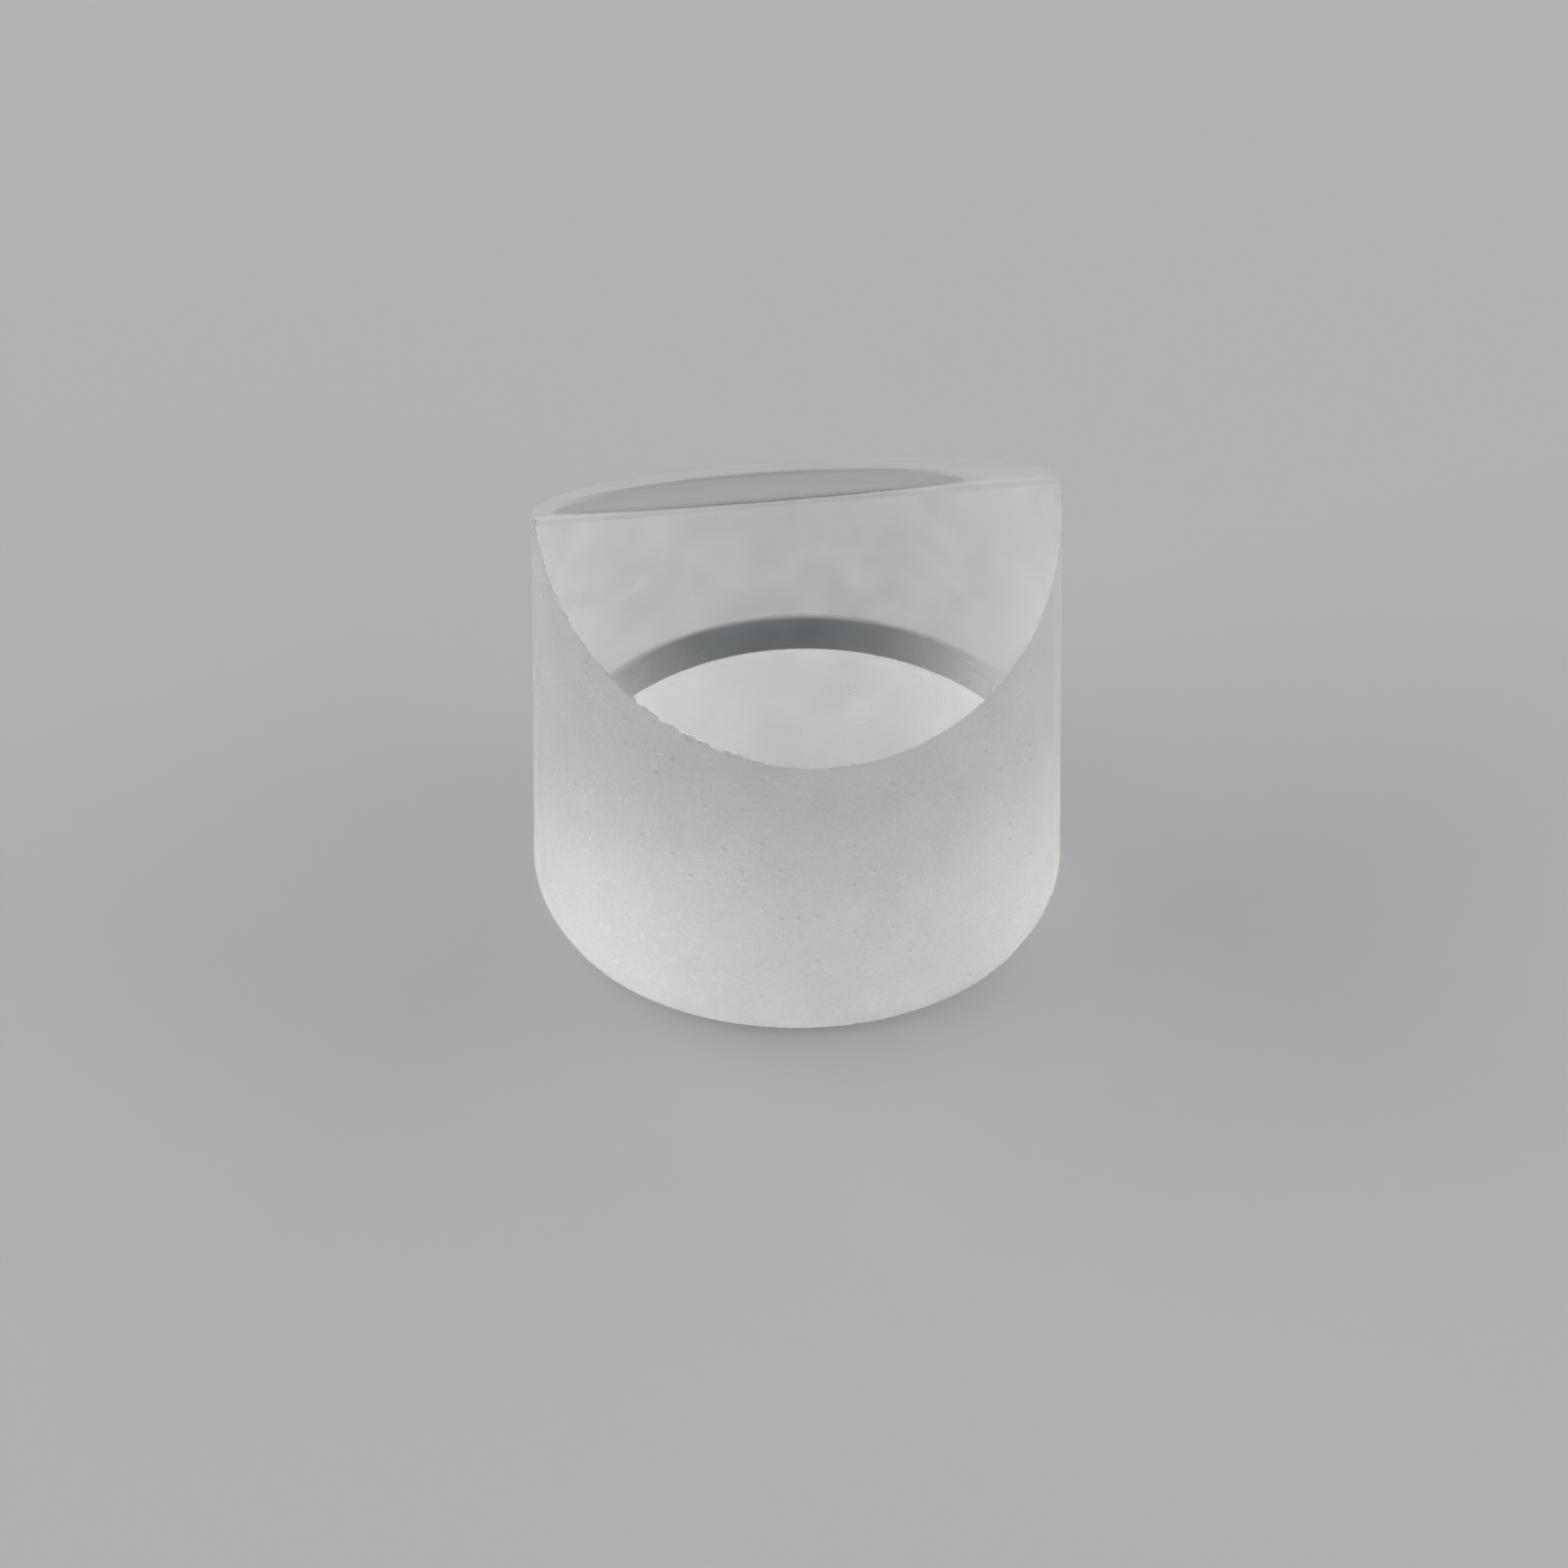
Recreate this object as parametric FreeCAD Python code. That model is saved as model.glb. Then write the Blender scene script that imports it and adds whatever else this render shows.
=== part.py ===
import FreeCAD, Part
import math
import os

# Laser-line lens made in one piece from a glass rod: a flat polished base with a bevelled
# edge, a ground barrel and, on top, a roof of two polished flanks that meet in a slightly
# rounded ridge. A narrow beam that enters through the ridge leaves the base as an even fan.
# Millimetres. The origin is at the centre of the base, +Z is the optical axis and points up
# through the ridge, and the ridge runs along X.

# Driving dimensions
diameter = 9.0         # outside diameter of the ground barrel
overall_height = 8.0   # from the base to the crest of the ridge
flank_slope = 28.8     # degrees that each flank falls away by, clear of the ridge
ridge_radius = 0.3     # radius of curvature at the crest of the ridge
bevel_height = 0.45    # height of the steep ground bevel round the base
bevel_depth = 0.25     # how far the bevel comes in from the barrel's wall

# Sizes that follow
radius = diameter / 2
blank_height = overall_height + radius   # the rod's length before the roof is ground
cutter_height = blank_height + radius    # the roof's cut clears the rod's end


def rod_blank():
    """Return the ground rod, longer than the lens, with its base edge bevelled."""
    outline = Part.makePolygon([
        FreeCAD.Vector(0, 0, 0),
        FreeCAD.Vector(radius - bevel_depth, 0, 0),
        FreeCAD.Vector(radius, 0, bevel_height),
        FreeCAD.Vector(radius, 0, blank_height),
        FreeCAD.Vector(0, 0, blank_height),
        FreeCAD.Vector(0, 0, 0),
    ])
    axis_point = FreeCAD.Vector(0, 0, 0)
    optical_axis = FreeCAD.Vector(0, 0, 1)
    return Part.Face(outline).revolve(axis_point, optical_axis, 360)


def roof_curve(half_width):
    """Return the roof's section across the ridge: an arc of a hyperbola, crest upwards.

    The flanks are the asymptotes. With t the tangent of their slope, a semi-axis of
    radius * t * t along Z and one of radius * t along Y give the crest the radius asked for.
    In lens terms this is the conic of constant -(1 + 1 / t**2), which spreads a beam evenly.
    """
    tangent = math.tan(math.radians(flank_slope))
    semi_axis_z = ridge_radius * tangent ** 2
    semi_axis_y = ridge_radius * tangent
    centre = FreeCAD.Vector(0, 0, overall_height + semi_axis_z)
    crest = FreeCAD.Vector(0, 0, overall_height)
    beside_centre = centre + FreeCAD.Vector(0, semi_axis_y, 0)
    hyperbola = Part.Hyperbola(crest, beside_centre, centre)
    end_parameter = math.asinh(half_width / semi_axis_y)
    return Part.ArcOfHyperbola(hyperbola, -end_parameter, end_parameter)


def roof_cutter():
    """Return what is ground away above the roof: its section drawn out along the ridge."""
    curve = roof_curve(diameter)
    first_top = FreeCAD.Vector(0, curve.StartPoint.y, cutter_height)
    last_top = FreeCAD.Vector(0, curve.EndPoint.y, cutter_height)
    section = Part.Face(Part.Wire([
        curve.toShape(),
        Part.makeLine(curve.EndPoint, last_top),
        Part.makeLine(last_top, first_top),
        Part.makeLine(first_top, curve.StartPoint),
    ]))
    section.translate(FreeCAD.Vector(-diameter, 0, 0))
    return section.extrude(FreeCAD.Vector(2 * diameter, 0, 0))


def lens():
    """Return the finished lens, one solid."""
    return rod_blank().cut(roof_cutter()).Solids[0]


def main():
    """Build the lens, write it and print its size."""
    os.makedirs("parts", exist_ok=True)
    shape = lens()
    shape.exportStep("parts/lens.step")
    box = shape.BoundBox
    print("lens: valid", shape.isValid(), "faces", len(shape.Faces))
    print("volume", round(shape.Volume, 3), "cubic mm")
    print("box", round(box.XLength, 4), round(box.YLength, 4), round(box.ZLength, 4))


main()
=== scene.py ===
import logging
import math
from dataclasses import dataclass
from enum import Enum

import bmesh
import bpy
import numpy as np
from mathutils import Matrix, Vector


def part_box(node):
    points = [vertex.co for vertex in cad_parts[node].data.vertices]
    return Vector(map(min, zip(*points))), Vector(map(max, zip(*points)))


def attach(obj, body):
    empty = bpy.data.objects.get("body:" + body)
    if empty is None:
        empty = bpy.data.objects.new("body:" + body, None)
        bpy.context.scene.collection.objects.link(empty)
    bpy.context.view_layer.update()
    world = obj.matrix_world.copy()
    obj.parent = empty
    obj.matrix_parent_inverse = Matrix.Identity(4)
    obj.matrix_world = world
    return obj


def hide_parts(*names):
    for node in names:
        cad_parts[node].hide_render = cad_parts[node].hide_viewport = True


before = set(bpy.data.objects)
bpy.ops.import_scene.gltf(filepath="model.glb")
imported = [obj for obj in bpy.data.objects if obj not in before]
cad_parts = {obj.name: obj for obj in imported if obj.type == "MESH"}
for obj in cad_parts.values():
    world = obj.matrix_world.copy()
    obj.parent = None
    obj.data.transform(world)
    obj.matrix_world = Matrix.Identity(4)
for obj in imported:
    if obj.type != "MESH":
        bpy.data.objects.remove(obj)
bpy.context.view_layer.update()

LOG = logging.getLogger("lens")

MM = 0.001
MICRON = 1e-6
FULL_TURN = 2 * math.pi
CROWN_GLASS_INDEX = 1.517

Colour = tuple[float, float, float]
Socket = bpy.types.NodeSocket


class Surface(Enum):
    """A worked surface of the lens. The value is its material's index on the mesh."""

    ROOF = 0
    BASE = 1
    BARREL = 2
    BEVEL = 3
    BROKEN_EDGE = 4


@dataclass(frozen=True)
class EdgeWear:
    """The broken edge that is left where two surfaces of a glass blank meet.

    The edge is a narrow wavy facet all the way round, with small shell-like chips in it. A
    share of the chips, which are larger, lie together at one worn place. At the two ends of
    the ridge the facet widens into a small nose.
    """

    facet: float = 0.006 * MM
    wave_height: float = 0.0016 * MM
    wave_cycles: tuple[int, ...] = (23, 41, 67, 113, 190)
    chips: int = 75
    chip_width: tuple[float, float] = (0.03 * MM, 0.12 * MM)
    chip_depth: tuple[float, float] = (0.008 * MM, 0.045 * MM)
    worn_angle: float = math.radians(236)
    worn_spread: float = math.radians(13)
    worn_share: float = 0.7
    worn_scale: float = 1.8
    nose: float = 0.05 * MM
    nose_spread: float = math.radians(1.2)
    seed: int = 7

    def widths(self, angles: np.ndarray, radius: float) -> np.ndarray:
        """Return the facet's width at each angle round the lens.

        Args:
            angles: The angles round the optical axis, evenly spaced over a full turn.
            radius: The radius of the edge.

        Returns:
            One width for each angle, in metres.
        """
        rng = np.random.default_rng(self.seed)
        widths = np.full(len(angles), self.facet)
        for cycles in self.wave_cycles:
            phase = rng.uniform(0, FULL_TURN)
            widths += self.wave_height * np.sin(cycles * angles + phase)
        for _ in range(self.chips):
            scale = 1.0
            place = rng.uniform(0, FULL_TURN)
            if rng.random() < self.worn_share:
                scale = self.worn_scale
                place = rng.normal(self.worn_angle, self.worn_spread)
            half_width = scale * rng.uniform(*self.chip_width) / 2 / radius
            depth = scale * rng.uniform(*self.chip_depth) * rng.random()
            offset = (angles - place + math.pi) % FULL_TURN - math.pi
            inside = np.clip(1 - (offset / half_width) ** 2, 0, None)
            widths = np.maximum(widths, self.facet + depth * np.sqrt(inside) * (inside > 0))
        for ridge_end in (0.0, math.pi):
            offset = (angles - ridge_end + math.pi) % FULL_TURN - math.pi
            widths += self.nose * np.exp(-(offset / self.nose_spread) ** 2)
        return np.clip(widths, 0.0, None)


def rounded_corner(before: tuple[float, float], corner: tuple[float, float],
                   after: tuple[float, float], radius: float,
                   steps: int) -> list[tuple[float, float]]:
    """Return the arc that rounds a corner of a flat outline.

    Args:
        before: A point on the straight run into the corner.
        corner: The corner.
        after: A point on the straight run out of it.
        radius: The radius of the round.
        steps: How many pieces the arc is cut into.

    Returns:
        The arc's points, from the run in to the run out.
    """
    point = Vector(corner)
    run_in = (Vector(before) - point).normalized()
    run_out = (Vector(after) - point).normalized()
    half_angle = run_in.angle(run_out) / 2
    centre = point + (run_in + run_out).normalized() * radius / math.sin(half_angle)
    first = point + run_in * radius / math.tan(half_angle) - centre
    last = point + run_out * radius / math.tan(half_angle) - centre
    turn = first.angle(last)
    points = []
    for step in range(steps + 1):
        share = step / steps
        spoke = first * math.sin((1 - share) * turn) + last * math.sin(share * turn)
        points.append(tuple(centre + spoke / math.sin(turn)))
    return points


@dataclass
class LensElement:
    """The lens: its sizes, its mesh and the finishes of its surfaces.

    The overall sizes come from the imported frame. The rest are the sizes that the frame's box
    doesn't show. The rim's land is wider than the deepest wear, so that the roof's strips
    behind it never fold.
    """

    diameter: float
    height: float
    flank_slope: float = math.radians(28.8)
    ridge_radius: float = 0.3 * MM
    bevel_height: float = 0.45 * MM
    bevel_depth: float = 0.25 * MM
    shoulder_radius: float = 0.9 * MM
    heel_radius: float = 0.02 * MM
    shoulder_steps: int = 14
    heel_steps: int = 4
    shoulder_lead: float = 0.09 * MM
    heel_zone: float = 0.1 * MM
    rim_land: float = 0.16 * MM
    segments: int = 1440
    roof_edge: EdgeWear = EdgeWear()
    heel_edge: EdgeWear = EdgeWear(chips=60, chip_depth=(0.004 * MM, 0.02 * MM),
                                   worn_share=0.0, nose=0.0, seed=11)

    @property
    def radius(self) -> float:
        """Return the barrel's radius."""
        return self.diameter / 2

    def roof_height(self, across: np.ndarray) -> np.ndarray:
        """Return the height of the roof at a distance from the ridge.

        Args:
            across: Distances from the ridge, along Y.

        Returns:
            The heights above the base: a hyperbola whose asymptotes are the flanks.
        """
        tangent = math.tan(self.flank_slope)
        semi_axis_z = self.ridge_radius * tangent ** 2
        semi_axis_y = self.ridge_radius * tangent
        return self.height - semi_axis_z * (np.sqrt(1 + (across / semi_axis_y) ** 2) - 1)

    def angles(self) -> np.ndarray:
        """Return the angles of the mesh's columns round the optical axis."""
        return np.arange(self.segments) * FULL_TURN / self.segments

    def ring(self, radii: np.ndarray | float, heights: np.ndarray | float) -> np.ndarray:
        """Return one ring of points, a point for each column of the mesh.

        Args:
            radii: Distances from the optical axis, one for all or one for each column.
            heights: Heights above the base, one for all or one for each column.

        Returns:
            An array of points, one row for each column.
        """
        angles = self.angles()
        points = np.empty((self.segments, 3))
        points[:, 0] = radii * np.cos(angles)
        points[:, 1] = radii * np.sin(angles)
        points[:, 2] = heights
        return points

    def foot_profile(self) -> list[tuple[float, float, Surface]]:
        """Return the section from the barrel's foot to the base.

        The barrel rolls over a soft shoulder on to the bevel, and the bevel over a small heel
        on to the base. A point a little above the shoulder keeps the wall's shading straight.

        Returns:
            Distances from the axis and heights, each with the surface that ends there.
        """
        above = (self.radius, self.height)
        shoulder = (self.radius, self.bevel_height)
        heel = (self.radius - self.bevel_depth, 0.0)
        centre = (0.0, 0.0)
        roll = rounded_corner(above, shoulder, heel, self.shoulder_radius,
                              self.shoulder_steps)
        turn_in = rounded_corner(shoulder, heel, centre, self.heel_radius, self.heel_steps)
        lead = roll[0][1] + self.shoulder_lead
        profile = [(self.radius, lead, Surface.BARREL), (*roll[0], Surface.BARREL)]
        profile += [(*point, Surface.BEVEL) for point in roll[1:] + turn_in]
        return profile

    def roof_ring(self, radii: np.ndarray | float) -> np.ndarray:
        """Return a ring of points that lies on the roof.

        Args:
            radii: Distances from the optical axis, one for all or one for each column.

        Returns:
            An array of points, one row for each column.
        """
        points = self.ring(radii, 0.0)
        points[:, 2] = self.roof_height(points[:, 1])
        return points

    def rings(self) -> tuple[list[np.ndarray], list[Surface]]:
        """Return the rings of points from the roof's land down to the base.

        Returns:
            The rings, and the surface between each ring and the next.
        """
        wear = self.roof_edge.widths(self.angles(), self.radius)
        heel_wear = self.heel_edge.widths(self.angles(), self.radius)
        rings = [self.roof_ring(self.radius - self.rim_land),
                 self.roof_ring(self.radius - wear),
                 self.roof_ring(self.radius) - wear[:, None] * (0, 0, 1)]
        surfaces = [Surface.ROOF, Surface.BROKEN_EDGE]
        for distance, height, surface in self.foot_profile():
            worn_away = heel_wear * (height < self.heel_zone)
            rings.append(self.ring(distance - worn_away, height))
            surfaces.append(surface)
        return rings, surfaces

    def roof_strips(self) -> list[tuple[int, ...]]:
        """Return the roof's faces, which are strips along the ridge.

        Returns:
            The corners of each strip, from one side of the ridge to the other. They are
            points of the first ring.
        """
        count = self.segments
        strips = []
        for step in range(-count // 4, count // 4):
            corners = (step % count, (step + 1) % count,
                       (count // 2 - step - 1) % count, (count // 2 - step) % count)
            strips.append(tuple(dict.fromkeys(corners)))
        return strips

    def faces(self, ring_surfaces: list[Surface]) -> list[tuple[tuple[int, ...], Surface]]:
        """Return the faces between the rings, on the base and on the roof.

        Args:
            ring_surfaces: The surface between each ring and the next.

        Returns:
            The corners of each face, with its surface. The base's centre is the point after
            the last ring.
        """
        count = self.segments
        faces: list[tuple[tuple[int, ...], Surface]] = []
        for upper, surface in enumerate(ring_surfaces):
            top = upper * count
            low = top + count
            for column in range(count):
                beside = (column + 1) % count
                corners = (low + column, low + beside, top + beside, top + column)
                faces.append((corners, surface))
        last = len(ring_surfaces) * count
        centre = last + count
        for column in range(count):
            corners = (last + (column + 1) % count, last + column, centre)
            faces.append((corners, Surface.BASE))
        faces += [(corners, Surface.ROOF) for corners in self.roof_strips()]
        return faces

    def mesh(self, name: str) -> bpy.types.Mesh:
        """Return the lens as one closed mesh.

        Args:
            name: The name of the new mesh.

        Returns:
            The mesh, with a material index for each surface.
        """
        rings, ring_surfaces = self.rings()
        base_centre = np.zeros((1, 3))
        points = np.vstack([*rings, base_centre])
        faces = self.faces(ring_surfaces)
        mesh = bpy.data.meshes.new(name)
        mesh.from_pydata(points.tolist(), [], [corners for corners, _ in faces])
        mesh.polygons.foreach_set("material_index", [surface.value for _, surface in faces])
        mesh.polygons.foreach_set("use_smooth", [True] * len(faces))
        self.sharpen(mesh)
        mesh.update()
        return mesh

    @staticmethod
    def sharpen(mesh: bpy.types.Mesh) -> None:
        """Mark the edges at which two surfaces meet without a round.

        Args:
            mesh: The lens's mesh. Only its barrel rolls on to its bevel.
        """
        rolled = {Surface.BARREL.value, Surface.BEVEL.value}
        worker = bmesh.new()
        worker.from_mesh(mesh)
        for edge in worker.edges:
            kinds = {face.material_index for face in edge.link_faces}
            edge.smooth = len(kinds) == 1 or kinds == rolled
        worker.to_mesh(mesh)
        worker.free()

    def build(self) -> bpy.types.Object:
        """Build the lens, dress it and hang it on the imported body.

        Returns:
            The dressed piece.
        """
        piece = bpy.data.objects.new("lens_element", self.mesh("lens_element"))
        bpy.context.scene.collection.objects.link(piece)
        polished = PolishedGlass().material()
        ground = GroundGlass("ground_barrel", self.radius).material()
        # The bevel's finish carries a ring of painted shade where it looks down at the seat.
        bevel = GroundGlass("ground_bevel_painted_shade", self.radius, painted_shade_ring=True).material()
        # The broken rim's tones are painted darker than the barrel's: painted shade that keeps
        # its upturned facet from showing bright.
        broken = GroundGlass("broken_rim_painted_shade", self.radius, dark=(0.53, 0.535, 0.54),
                             pale=(0.82, 0.825, 0.83)).material()
        finishes = {Surface.ROOF: polished, Surface.BASE: polished, Surface.BARREL: ground,
                    Surface.BEVEL: bevel, Surface.BROKEN_EDGE: broken}
        for surface in Surface:
            piece.data.materials.append(finishes[surface])
        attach(piece, "root")
        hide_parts("lens")
        LOG.info("lens_element: %d faces", len(piece.data.polygons))
        return piece


@dataclass
class NodeTree:
    """A short way to add and join nodes in a tree."""

    tree: bpy.types.NodeTree

    def add(self, kind: str, **settings: object) -> bpy.types.Node:
        """Add a node.

        Args:
            kind: The node's type.
            settings: Its properties by name. A name that isn't a property is an input
                socket, with its spaces written as underscores.

        Returns:
            The new node.
        """
        node = self.tree.nodes.new(kind)
        for name, value in settings.items():
            if hasattr(node, name):
                setattr(node, name, value)
            else:
                node.inputs[name.replace("_", " ")].default_value = value
        return node

    def join(self, source: Socket, target: Socket) -> None:
        """Join an output to an input."""
        self.tree.links.new(source, target)

    def maths(self, operation: str, first: Socket | float,
              second: Socket | float | None = None,
              third: Socket | float | None = None) -> Socket:
        """Add a Math node.

        Args:
            operation: The node's operation.
            first: The first value, a number or a socket.
            second: The second value, if the operation has one.
            third: The third value, if the operation has one.

        Returns:
            The node's output.
        """
        node = self.add("ShaderNodeMath", operation=operation)
        for socket, value in zip(node.inputs, (first, second, third)):
            if value is not None:
                self.feed(socket, value)
        return node.outputs[0]

    def feed(self, target: Socket, value: Socket | float) -> None:
        """Give an input its value.

        Args:
            target: The input.
            value: A number, or the output to join to it.
        """
        if isinstance(value, Socket):
            self.join(value, target)
        else:
            target.default_value = value

    def fit(self, value: Socket, low: Socket | float, high: Socket | float,
            to_low: float = 0.0, to_high: float = 1.0) -> Socket:
        """Map a value smoothly from one range to another, held at its ends.

        Args:
            value: The value.
            low: The lower end of its range.
            high: The upper end of its range.
            to_low: What the lower end becomes.
            to_high: What the upper end becomes.

        Returns:
            The mapped value.
        """
        node = self.add("ShaderNodeMapRange", interpolation_type="SMOOTHSTEP")
        for label, part in (("Value", value), ("From Min", low), ("From Max", high),
                            ("To Min", to_low), ("To Max", to_high)):
            self.feed(node.inputs[label], part)
        return node.outputs["Result"]


def new_group(name: str, inputs: dict[str, float], outputs: dict[str, str]) -> NodeTree:
    """Start a shader node group. Its first input is always Vector, the coordinates.

    Args:
        name: The group's name.
        inputs: Its other inputs, all plain numbers, with their usual values.
        outputs: Its outputs with their socket types.

    Returns:
        The group's tree, with its input and output nodes in it.
    """
    group = bpy.data.node_groups.new(name, "ShaderNodeTree")
    group.interface.new_socket("Vector", in_out="INPUT", socket_type="NodeSocketVector")
    for label, value in inputs.items():
        socket = group.interface.new_socket(label, in_out="INPUT",
                                            socket_type="NodeSocketFloat")
        socket.default_value = value
    for label, kind in outputs.items():
        group.interface.new_socket(label, in_out="OUTPUT", socket_type=kind)
    tree = NodeTree(group)
    tree.add("NodeGroupInput").name = "in"
    tree.add("NodeGroupOutput").name = "out"
    return tree


def cloud(group: NodeTree, vector: Socket, scale: Socket, detail: float,
          roughness: float = 0.6) -> Socket:
    """Add a noise texture.

    Args:
        group: The tree that the node goes into.
        vector: The coordinates.
        scale: The texture's scale.
        detail: How many finer layers it has.
        roughness: How strong each finer layer is, as a share of the one before it.

    Returns:
        The texture's value.
    """
    node = group.add("ShaderNodeTexNoise", Detail=detail, Roughness=roughness)
    group.join(vector, node.inputs["Vector"])
    group.join(scale, node.inputs["Scale"])
    return node.outputs["Fac"]


def unrolled_wall(group: NodeTree, vector: Socket, radius: Socket) -> Socket:
    """Unroll the barrel's wall, so that marks on it keep their shape all round.

    Args:
        group: The tree that the nodes go into.
        vector: The object's own coordinates.
        radius: The barrel's radius.

    Returns:
        Flat coordinates: the way round the wall, and the height.
    """
    parts = group.add("ShaderNodeSeparateXYZ")
    group.join(vector, parts.inputs[0])
    angle = group.maths("ARCTAN2", parts.outputs["Y"], parts.outputs["X"])
    flat = group.add("ShaderNodeCombineXYZ")
    group.join(group.maths("MULTIPLY", angle, radius), flat.inputs["X"])
    group.join(parts.outputs["Z"], flat.inputs["Y"])
    return flat.outputs[0]


@dataclass(frozen=True)
class Spots:
    """Soft round spots of uneven size and strength, one in some cells of a Voronoi texture.

    Sizes are shares of a cell, and the strength of the faintest spot is a share of 1.
    """

    least: float
    spread: float
    faintest: float = 0.3

    def mask(self, group: NodeTree, vector: Socket, scale: Socket, share: Socket) -> Socket:
        """Add the spots to a tree.

        Args:
            group: The tree that the nodes go into.
            vector: The coordinates.
            scale: The cells' scale.
            share: The share of the cells that hold a spot.

        Returns:
            The mask: 1 at the middle of a spot, less in fainter ones, and 0 between them.
        """
        cells = group.add("ShaderNodeTexVoronoi", voronoi_dimensions="2D", Randomness=1.0)
        group.join(vector, cells.inputs["Vector"])
        group.join(scale, cells.inputs["Scale"])
        chance = group.add("ShaderNodeSeparateColor")
        group.join(cells.outputs["Color"], chance.inputs[0])
        chosen = group.maths("LESS_THAN", chance.outputs[0], share)
        reach = group.maths("MULTIPLY_ADD", chance.outputs[1], self.spread, self.least)
        spot = group.fit(cells.outputs["Distance"], 0.0, reach, 1.0, 0.0)
        strength = group.maths("MULTIPLY_ADD", chance.outputs[2], 1 - self.faintest,
                               self.faintest)
        return group.maths("MULTIPLY", group.maths("MULTIPLY", spot, chosen), strength)


@dataclass(frozen=True)
class GroundTexture:
    """The texture of a surface ground with loose abrasive.

    Height is fine grain with pits and flecks in it. Tone is grain on a soft mottle, with
    painted shade in the pits and a painted highlight beside each, and paler along the flecks,
    which are real scuffs painted partly as glints. Warmth is a broad drift of tint. Each
    height and tone below is what a full mark adds, where the grain itself adds up to 1.
    """

    name: str = "ground_texture"
    grain_detail: float = 3.0
    mottle_detail: float = 4.0
    drift_detail: float = 1.0
    pits: Spots = Spots(least=0.05, spread=0.17)
    pit_height: float = -10.0
    # Painted shade in the pits, and a painted highlight set off to one side of each.
    pit_shade_tone: float = -1.3
    pit_highlight_tone: float = 0.6
    pit_highlight_offset: tuple[float, float, float] = (0.02 * MM, 0.045 * MM, 0.0)
    flecks: Spots = Spots(least=0.08, spread=0.16)
    fleck_height: float = -16.0
    # Flecks are real scuffs, painted paler as glints.
    fleck_glint_tone: float = 1.5
    fleck_ways: tuple[tuple[float, float], ...] = ((-0.7, 5.0), (0.35, 4.0), (-1.9, 3.0))
    mottle_tone: float = 0.6
    level_tone: float = -0.15
    scuff_floor: float = 0.12
    soft_range: tuple[float, float] = (0.3, 0.7)

    def group(self) -> bpy.types.NodeTree:
        """Return the texture's node group, built on first use.

        Returns:
            The group, which gives Height, Tone, Warmth and Roughness.
        """
        if self.name in bpy.data.node_groups:
            return bpy.data.node_groups[self.name]
        group = new_group(
            self.name,
            {"Radius": 1.0, "Grain Scale": 1.0, "Mottle Scale": 1.0, "Drift Scale": 1.0,
             "Pit Scale": 1.0, "Pit Share": 0.2, "Fleck Scale": 1.0, "Fleck Share": 0.2,
             "Scuff Angle": 0.0, "Scuff Height": 0.0, "Scuff Reach": 1.0},
            {"Height": "NodeSocketFloat", "Tone": "NodeSocketFloat",
             "Warmth": "NodeSocketFloat", "Roughness": "NodeSocketFloat"},
        )
        given = group.tree.nodes["in"].outputs
        result = group.tree.nodes["out"].inputs
        grain = cloud(group, given["Vector"], given["Grain Scale"], self.grain_detail)
        mottle = cloud(group, given["Vector"], given["Mottle Scale"], self.mottle_detail)
        drift = cloud(group, given["Vector"], given["Drift Scale"], self.drift_detail)
        wall = unrolled_wall(group, given["Vector"], given["Radius"])
        pits = self.pits.mask(group, wall, given["Pit Scale"], given["Pit Share"])
        # The same spots, moved aside, give each pit its painted highlight.
        pit_highlights = self.pits.mask(group, self.moved(group, wall), given["Pit Scale"],
                              given["Pit Share"])
        flecks = self.fleck_mask(group, wall, given)
        height = group.maths("MULTIPLY_ADD", pits, self.pit_height, grain)
        height = group.maths("MULTIPLY_ADD", flecks, self.fleck_height, height)
        tone = group.maths("MULTIPLY_ADD", mottle, self.mottle_tone, grain)
        tone = group.maths("ADD", tone, self.level_tone)
        # Painted highlight beside each pit, then painted shade in the pit, then the flecks'
        # painted glint.
        tone = group.maths("MULTIPLY_ADD", pit_highlights, self.pit_highlight_tone, tone)
        tone = group.maths("MULTIPLY_ADD", pits, self.pit_shade_tone, tone)
        tone = group.maths("MULTIPLY_ADD", flecks, self.fleck_glint_tone, tone)
        group.join(height, result["Height"])
        group.join(tone, result["Tone"])
        group.join(group.fit(drift, *self.soft_range), result["Warmth"])
        group.join(group.fit(mottle, *self.soft_range), result["Roughness"])
        return group.tree

    def moved(self, group: NodeTree, wall: Socket) -> Socket:
        """Return the wall's coordinates moved by the offset of the painted pit highlights.

        Args:
            group: The tree that the node goes into.
            wall: The wall's flat coordinates.

        Returns:
            The moved coordinates.
        """
        node = group.add("ShaderNodeVectorMath", operation="ADD")
        group.join(wall, node.inputs[0])
        node.inputs[1].default_value = self.pit_highlight_offset
        return node.outputs[0]

    def scuffing(self, group: NodeTree, wall: Socket,
                 given: bpy.types.NodeOutputs) -> Socket:
        """Return how scuffed the wall is.

        Args:
            group: The tree that the nodes go into.
            wall: The wall's flat coordinates.
            given: The group's inputs.

        Returns:
            1 at the middle of the patch that was handled most, and less away from it.
        """
        centre = group.add("ShaderNodeCombineXYZ")
        group.join(group.maths("MULTIPLY", given["Scuff Angle"], given["Radius"]),
                   centre.inputs["X"])
        group.join(given["Scuff Height"], centre.inputs["Y"])
        gap = group.add("ShaderNodeVectorMath", operation="DISTANCE")
        group.join(wall, gap.inputs[0])
        group.join(centre.outputs[0], gap.inputs[1])
        return group.fit(gap.outputs["Value"], 0.0, given["Scuff Reach"], 1.0,
                         self.scuff_floor)

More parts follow.
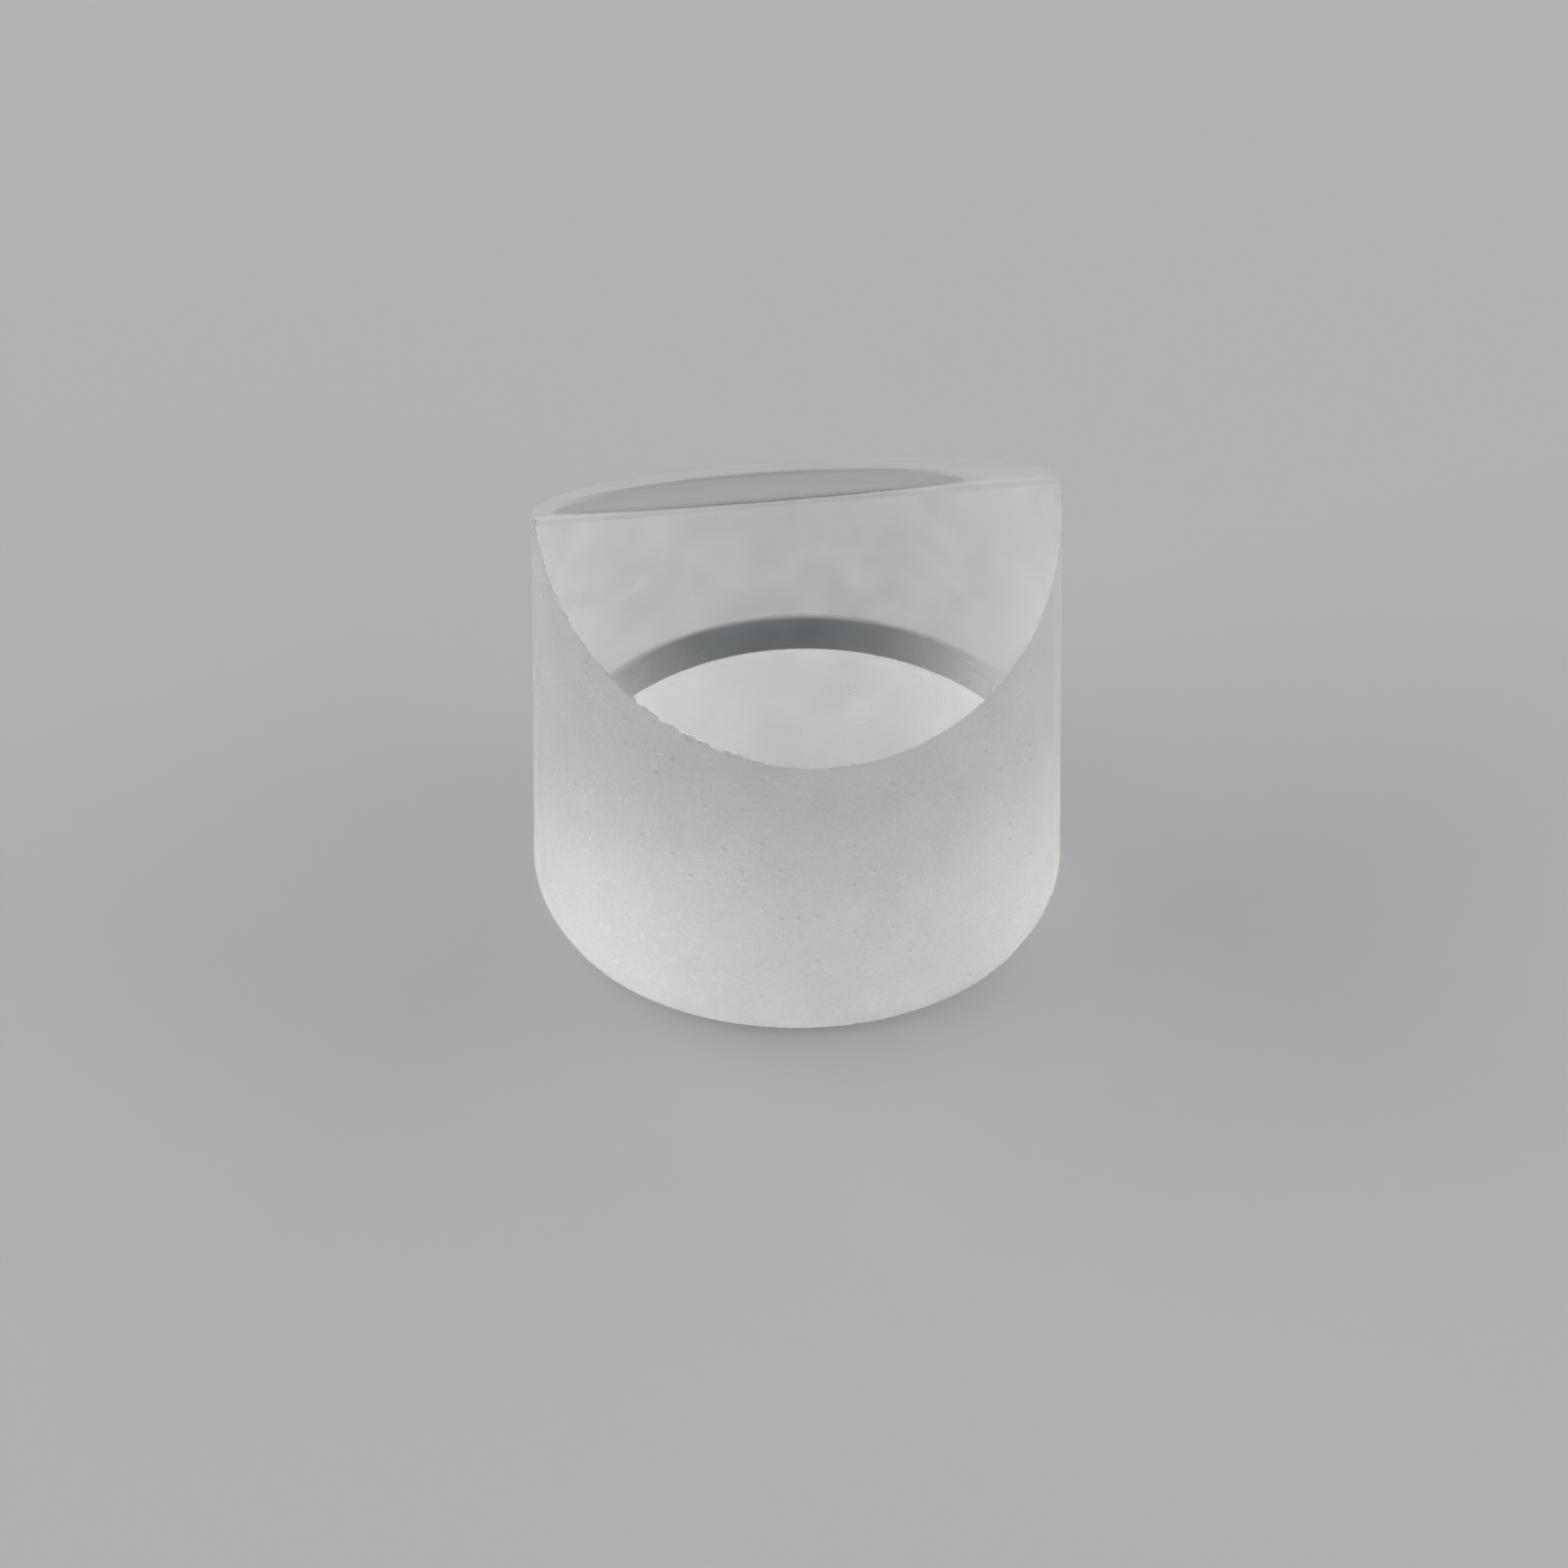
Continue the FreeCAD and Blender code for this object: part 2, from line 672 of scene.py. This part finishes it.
    def fleck_mask(self, group: NodeTree, wall: Socket,
                   given: bpy.types.NodeOutputs) -> Socket:
        """Return the short straight flecks, which lie in layers turned different ways.

        Args:
            group: The tree that the nodes go into.
            wall: The wall's flat coordinates.
            given: The group's inputs.

        Returns:
            The mask: 1 along a fleck and 0 between them.
        """
        share = group.maths("MULTIPLY", given["Fleck Share"],
                            self.scuffing(group, wall, given))
        layers = []
        for turn, stretch in self.fleck_ways:
            pressed = group.add("ShaderNodeMapping", vector_type="TEXTURE")
            group.join(wall, pressed.inputs["Vector"])
            pressed.inputs["Rotation"].default_value = (0.0, 0.0, turn)
            pressed.inputs["Scale"].default_value = (stretch, 1.0, 1.0)
            layers.append(self.flecks.mask(group, pressed.outputs["Vector"],
                                           given["Fleck Scale"], share))
        flecks = layers[0]
        for layer in layers[1:]:
            flecks = group.maths("MAXIMUM", flecks, layer)
        return flecks


@dataclass(frozen=True)
class PolishTexture:
    """The texture of a polished surface: a few specks of dust and a breath of haze."""

    name: str = "polish_texture"
    specks: Spots = Spots(least=0.03, spread=0.05)
    haze_detail: float = 2.0
    haze_range: tuple[float, float] = (0.4, 0.7)

    def group(self) -> bpy.types.NodeTree:
        """Return the texture's node group, built on first use.

        Returns:
            The group, which gives Specks and Haze.
        """
        if self.name in bpy.data.node_groups:
            return bpy.data.node_groups[self.name]
        group = new_group(
            self.name,
            {"Speck Scale": 1.0, "Speck Share": 0.05, "Haze Scale": 1.0},
            {"Specks": "NodeSocketFloat", "Haze": "NodeSocketFloat"},
        )
        given = group.tree.nodes["in"].outputs
        result = group.tree.nodes["out"].inputs
        specks = self.specks.mask(group, given["Vector"], given["Speck Scale"],
                                  given["Speck Share"])
        haze = cloud(group, given["Vector"], given["Haze Scale"], self.haze_detail)
        group.join(specks, result["Specks"])
        group.join(group.fit(haze, *self.haze_range), result["Haze"])
        return group.tree


def glass_shader(tree: NodeTree, transmission: float, index: float) -> bpy.types.Node:
    """Add the glass shader to a material's tree and join it to the output.

    Args:
        tree: The material's tree.
        transmission: The share of light that goes through the surface.
        index: The refractive index.

    Returns:
        The shader node.
    """
    shader = tree.add("ShaderNodeBsdfPrincipled")
    shader.inputs["Transmission Weight"].default_value = transmission
    shader.inputs["IOR"].default_value = index
    shader.inputs["Metallic"].default_value = 0.0
    output = tree.add("ShaderNodeOutputMaterial")
    tree.join(shader.outputs["BSDF"], output.inputs["Surface"])
    return shader


def new_material(name: str) -> tuple[bpy.types.Material, NodeTree]:
    """Start a material.

    Args:
        name: The material's name.

    Returns:
        The material and its empty tree.
    """
    material = bpy.data.materials.new(name)
    material.use_nodes = True
    material.node_tree.nodes.clear()
    return material, NodeTree(material.node_tree)


def colour_between(tree: NodeTree, factor: Socket, low: Colour, high: Colour) -> Socket:
    """Add a mix of two colours.

    Args:
        tree: The tree that the node goes into.
        factor: The share of the second colour, held between 0 and 1.
        low: The first colour.
        high: The second colour.

    Returns:
        The mixed colour.
    """
    node = tree.add("ShaderNodeMix", data_type="RGBA", clamp_factor=True)
    tree.join(factor, node.inputs["Factor"])
    first, second = [socket for socket in node.inputs if socket.type == "RGBA"]
    first.default_value = (*low, 1.0)
    second.default_value = (*high, 1.0)
    return next(socket for socket in node.outputs if socket.type == "RGBA")


def product(tree: NodeTree, first: Socket, second: Socket) -> Socket:
    """Add the product of two colours.

    Args:
        tree: The tree that the node goes into.
        first: A colour.
        second: Another.

    Returns:
        The first colour times the second.
    """
    node = tree.add("ShaderNodeVectorMath", operation="MULTIPLY")
    tree.join(first, node.inputs[0])
    tree.join(second, node.inputs[1])
    return node.outputs[0]


@dataclass(frozen=True)
class PolishedGlass:
    """Optically polished crown glass, for the roof and the base."""

    name: str = "polished_glass"
    index: float = CROWN_GLASS_INDEX
    clear: Colour = (0.985, 0.995, 0.99)
    dusty: Colour = (0.80, 0.81, 0.82)
    speck_size: float = 0.9 * MM
    speck_share: float = 0.12
    haze_size: float = 3.0 * MM
    roughness: tuple[float, float] = (0.0, 0.012)

    def material(self) -> bpy.types.Material:
        """Build the material.

        Returns:
            The material, which is new at each call.
        """
        material, tree = new_material(self.name)
        shader = glass_shader(tree, 1.0, self.index)
        place = tree.add("ShaderNodeTexCoord")
        marks = tree.add("ShaderNodeGroup", node_tree=PolishTexture().group())
        tree.join(place.outputs["Object"], marks.inputs["Vector"])
        marks.inputs["Speck Scale"].default_value = 1 / self.speck_size
        marks.inputs["Speck Share"].default_value = self.speck_share
        marks.inputs["Haze Scale"].default_value = 1 / self.haze_size
        tree.join(colour_between(tree, marks.outputs["Specks"], self.clear, self.dusty),
                  shader.inputs["Base Color"])
        tree.join(tree.fit(marks.outputs["Haze"], 0.0, 1.0, *self.roughness),
                  shader.inputs["Roughness"])
        return material


@dataclass(frozen=True)
class GroundGlass:
    """Crown glass left matt from grinding, for the barrel, the bevel and the broken rim.

    Its pits and flecks stand out on the outside only: from within the glass it is smooth.
    The steep bevel can carry a dark ring of painted shade, seen from within, where it looks
    down at the lens's seat. The painted shade fades towards the ends of the ridge and up into
    the wall. A ray that has been mirrored on its way sees the bevel without it. The radius is
    the barrel's.
    """

    name: str
    radius: float
    painted_shade_ring: bool = False
    index: float = CROWN_GLASS_INDEX
    transmission: float = 0.93
    dark: Colour = (0.64, 0.645, 0.655)
    pale: Colour = (1.0, 1.0, 1.0)
    cool: Colour = (0.965, 0.98, 1.0)
    warm: Colour = (1.0, 0.99, 0.965)
    # Tint of the bevel's painted shade, and how far across and up it reaches before it fades.
    painted_shade_tint: Colour = (0.040, 0.056, 0.065)
    painted_shade_across: tuple[float, float] = (0.50, 1.0)
    painted_shade_height: tuple[float, float] = (0.66 * MM, 0.49 * MM)
    grain_size: float = 0.06 * MM
    mottle_size: float = 0.8 * MM
    drift_size: float = 2.2 * MM
    pit_size: float = 0.32 * MM
    pit_share: float = 0.18
    fleck_size: float = 0.16 * MM
    fleck_share: float = 0.32
    scuff_angle: float = math.radians(-124)
    scuff_height: float = 2.2 * MM
    scuff_reach: float = 3.4 * MM
    relief: float = 0.6 * MICRON
    roughness: tuple[float, float] = (0.74, 0.86)

    def material(self) -> bpy.types.Material:
        """Build the material.

        Returns:
            The material, which is new at each call.
        """
        material, tree = new_material(self.name)
        shader = glass_shader(tree, self.transmission, self.index)
        place = tree.add("ShaderNodeTexCoord")
        marks = self.marks(tree, place.outputs["Object"])
        colour = colour_between(tree, marks.outputs["Tone"], self.dark, self.pale)
        tint = colour_between(tree, marks.outputs["Warmth"], self.cool, self.warm)
        colour = product(tree, colour, tint)
        # Painted shade: the bevel's colour is darkened in a ring that shows from within the
        # glass.
        if self.painted_shade_ring:
            ring = self.painted_shade_share(tree, place.outputs["Object"])
            colour = product(tree, colour,
                             colour_between(tree, ring, (1.0, 1.0, 1.0), self.painted_shade_tint))
        tree.join(colour, shader.inputs["Base Color"])
        tree.join(tree.fit(marks.outputs["Roughness"], 0.0, 1.0, *self.roughness),
                  shader.inputs["Roughness"])
        side = tree.add("ShaderNodeNewGeometry")
        outside = tree.maths("SUBTRACT", 1.0, side.outputs["Backfacing"])
        bump = tree.add("ShaderNodeBump", Strength=1.0, Distance=self.relief)
        tree.join(tree.maths("MULTIPLY", marks.outputs["Height"], outside),
                  bump.inputs["Height"])
        tree.join(bump.outputs["Normal"], shader.inputs["Normal"])
        return material

    def marks(self, tree: NodeTree, vector: Socket) -> bpy.types.Node:
        """Place the ground texture in the material, with this finish's values.

        Args:
            tree: The material's tree.
            vector: The object's own coordinates.

        Returns:
            The texture's group node.
        """
        marks = tree.add("ShaderNodeGroup", node_tree=GroundTexture().group())
        tree.join(vector, marks.inputs["Vector"])
        for label, value in (("Radius", self.radius),
                             ("Grain Scale", 1 / self.grain_size),
                             ("Mottle Scale", 1 / self.mottle_size),
                             ("Drift Scale", 1 / self.drift_size),
                             ("Pit Scale", 1 / self.pit_size),
                             ("Pit Share", self.pit_share),
                             ("Fleck Scale", 1 / self.fleck_size),
                             ("Fleck Share", self.fleck_share),
                             ("Scuff Angle", self.scuff_angle),
                             ("Scuff Height", self.scuff_height),
                             ("Scuff Reach", self.scuff_reach)):
            marks.inputs[label].default_value = value
        return marks

    def painted_shade_share(self, tree: NodeTree, vector: Socket) -> Socket:
        """Return how much of the bevel's painted shade shows.

        Args:
            tree: The material's tree.
            vector: The object's own coordinates.

        Returns:
            0 from outside and for mirrored rays, and up to 1 from within.
        """
        parts = tree.add("ShaderNodeSeparateXYZ")
        tree.join(vector, parts.inputs[0])
        start, end = (share * self.radius for share in self.painted_shade_across)
        ring = tree.fit(tree.maths("ABSOLUTE", parts.outputs["Y"]), start, end)
        upper, lower = self.painted_shade_height
        ring = tree.maths("MULTIPLY", ring,
                          tree.fit(parts.outputs["Z"], lower, upper, 1.0, 0.0))
        side = tree.add("ShaderNodeNewGeometry")
        path = tree.add("ShaderNodeLightPath")
        direct = tree.maths("SUBTRACT", side.outputs["Backfacing"],
                            path.outputs["Is Reflection Ray"])
        direct = tree.maths("MAXIMUM", direct, 0.0)
        return tree.maths("MULTIPLY", ring, direct)


@dataclass(frozen=True)
class SoftBox:
    """A studio lamp with a wide soft face that points at the lens.

    The level is the brightness it gives a white card that faces it beside the lens.
    """

    name: str
    azimuth: float
    elevation: float
    level: float
    distance: float = 0.30
    width: float = 0.45
    height: float = 0.22
    tint: Colour = (1.0, 1.0, 1.0)

    def build(self, target: Vector) -> None:
        """Hang the lamp.

        Args:
            target: The point that the lamp faces.
        """
        lamp = bpy.data.lights.new(self.name, "AREA")
        lamp.shape = "RECTANGLE"
        lamp.size = self.width
        lamp.size_y = self.height
        lamp.color = self.tint
        lamp.energy = self.level * math.pi ** 2 * self.distance ** 2
        holder = bpy.data.objects.new(self.name, lamp)
        bpy.context.scene.collection.objects.link(holder)
        towards = direction(self.azimuth, self.elevation)
        holder.location = target + towards * self.distance
        holder.rotation_euler = (-towards).to_track_quat("-Z", "Y").to_euler()
        holder.visible_camera = False


def direction(azimuth: float, elevation: float) -> Vector:
    """Return the unit vector from the lens towards a place in the studio.

    Args:
        azimuth: Degrees round the lens; 0 is in front of it and 90 on its right.
        elevation: Degrees above the floor.

    Returns:
        The vector, in the scene's axes.
    """
    turn = math.radians(azimuth)
    rise = math.radians(elevation)
    return Vector((math.sin(turn) * math.cos(rise),
                   -math.cos(turn) * math.cos(rise),
                   math.sin(rise)))


@dataclass
class Studio:
    """The floor, the lamps and the soft light all round."""

    target: Vector
    floor_colour: Colour = (0.42, 0.425, 0.43)
    floor_roughness: float = 0.6
    floor_specular: float = 0.2
    floor_size: float = 6.0
    air_gap: float = 0.02 * MM
    ambient: float = 0.30
    backdrop: float = 0.40
    ambient_colour: Colour = (0.98, 0.99, 1.0)
    lamps: tuple[SoftBox, ...] = (
        SoftBox("left_box", -105, 30, 0.82, tint=(1.0, 0.95, 0.89)),
        SoftBox("right_front_box", 60, 35, 0.27, tint=(0.94, 0.95, 1.0)),
        SoftBox("right_back_box", 110, 30, 0.50, tint=(0.94, 0.95, 1.0)),
        SoftBox("top_box", 0, 88, 0.21),
        SoftBox("back_box", 178, 20, 0.10),
    )

    def build(self) -> None:
        """Build the studio."""
        self.build_floor()
        self.build_world()
        for lamp in self.lamps:
            lamp.build(self.target)
            LOG.info("lamp %s", lamp.name)

    def build_floor(self) -> None:
        """Lay the plain floor under the lens."""
        half = self.floor_size / 2
        corners = [(-half, -half), (half, -half), (half, half), (-half, half)]
        mesh = bpy.data.meshes.new("floor")
        mesh.from_pydata([(x, y, -self.air_gap) for x, y in corners], [], [(0, 1, 2, 3)])
        floor = bpy.data.objects.new("floor", mesh)
        bpy.context.scene.collection.objects.link(floor)
        material, tree = new_material("floor_paper")
        shader = tree.add("ShaderNodeBsdfPrincipled")
        shader.inputs["Base Color"].default_value = (*self.floor_colour, 1.0)
        shader.inputs["Roughness"].default_value = self.floor_roughness
        shader.inputs["Specular IOR Level"].default_value = self.floor_specular
        output = tree.add("ShaderNodeOutputMaterial")
        tree.join(shader.outputs["BSDF"], output.inputs["Surface"])
        mesh.materials.append(material)
        LOG.info("floor")

    def build_world(self) -> None:
        """Set the even light from all round, and the pale surroundings that glass shows."""
        world = bpy.data.worlds.new("studio")
        bpy.context.scene.world = world
        world.use_nodes = True
        tree = NodeTree(world.node_tree)
        background = world.node_tree.nodes["Background"]
        background.inputs["Color"].default_value = (*self.ambient_colour, 1.0)
        path = tree.add("ShaderNodeLightPath")
        seen = path.outputs["Is Camera Ray"]
        for kind in ("Is Glossy Ray", "Is Transmission Ray"):
            seen = tree.maths("MAXIMUM", seen, path.outputs[kind])
        strength = tree.fit(seen, 0.0, 1.0, self.ambient, self.backdrop)
        tree.join(strength, background.inputs["Strength"])


@dataclass(frozen=True)
class PhotoCamera:
    """The camera of the photograph, as fitted to the lens's outlines in it.

    It looks at a point on the lens's axis, a little to the left of it as the camera sees it.
    """

    azimuth: float = -7.98
    elevation: float = 35.95
    distance: float = 0.45
    focal_length: float = 605.0
    sensor: float = 36.0
    aim_height: float = 2.05 * MM
    aim_left: float = 0.22 * MM

    def build(self) -> None:
        """Place the camera and make it the scene's own."""
        data = bpy.data.cameras.new("camera")
        data.sensor_width = self.sensor
        data.lens = self.focal_length
        data.clip_start = self.distance / 100
        data.clip_end = self.distance * 100
        holder = bpy.data.objects.new("camera", data)
        bpy.context.scene.collection.objects.link(holder)
        towards = direction(self.azimuth, self.elevation)
        left = direction(self.azimuth - 90, 0)
        aim = Vector((0, 0, self.aim_height)) + left * self.aim_left
        holder.location = aim + towards * self.distance
        holder.rotation_euler = (-towards).to_track_quat("-Z", "Y").to_euler()
        bpy.context.scene.camera = holder
        LOG.info("camera: %.0f mm lens at %.2f m", data.lens, self.distance)


def main() -> None:
    """Build the lens, the studio and the camera."""
    logging.basicConfig(level=logging.INFO, format="%(message)s")
    bpy.context.scene.view_settings.view_transform = "Standard"
    low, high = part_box("lens")
    diameter = min(high.x - low.x, high.y - low.y)
    lens = LensElement(diameter=diameter, height=high.z - low.z)
    lens.build()
    Studio(target=Vector((0, 0, lens.height / 2))).build()
    PhotoCamera().build()


if __name__ == "__main__":
    main()
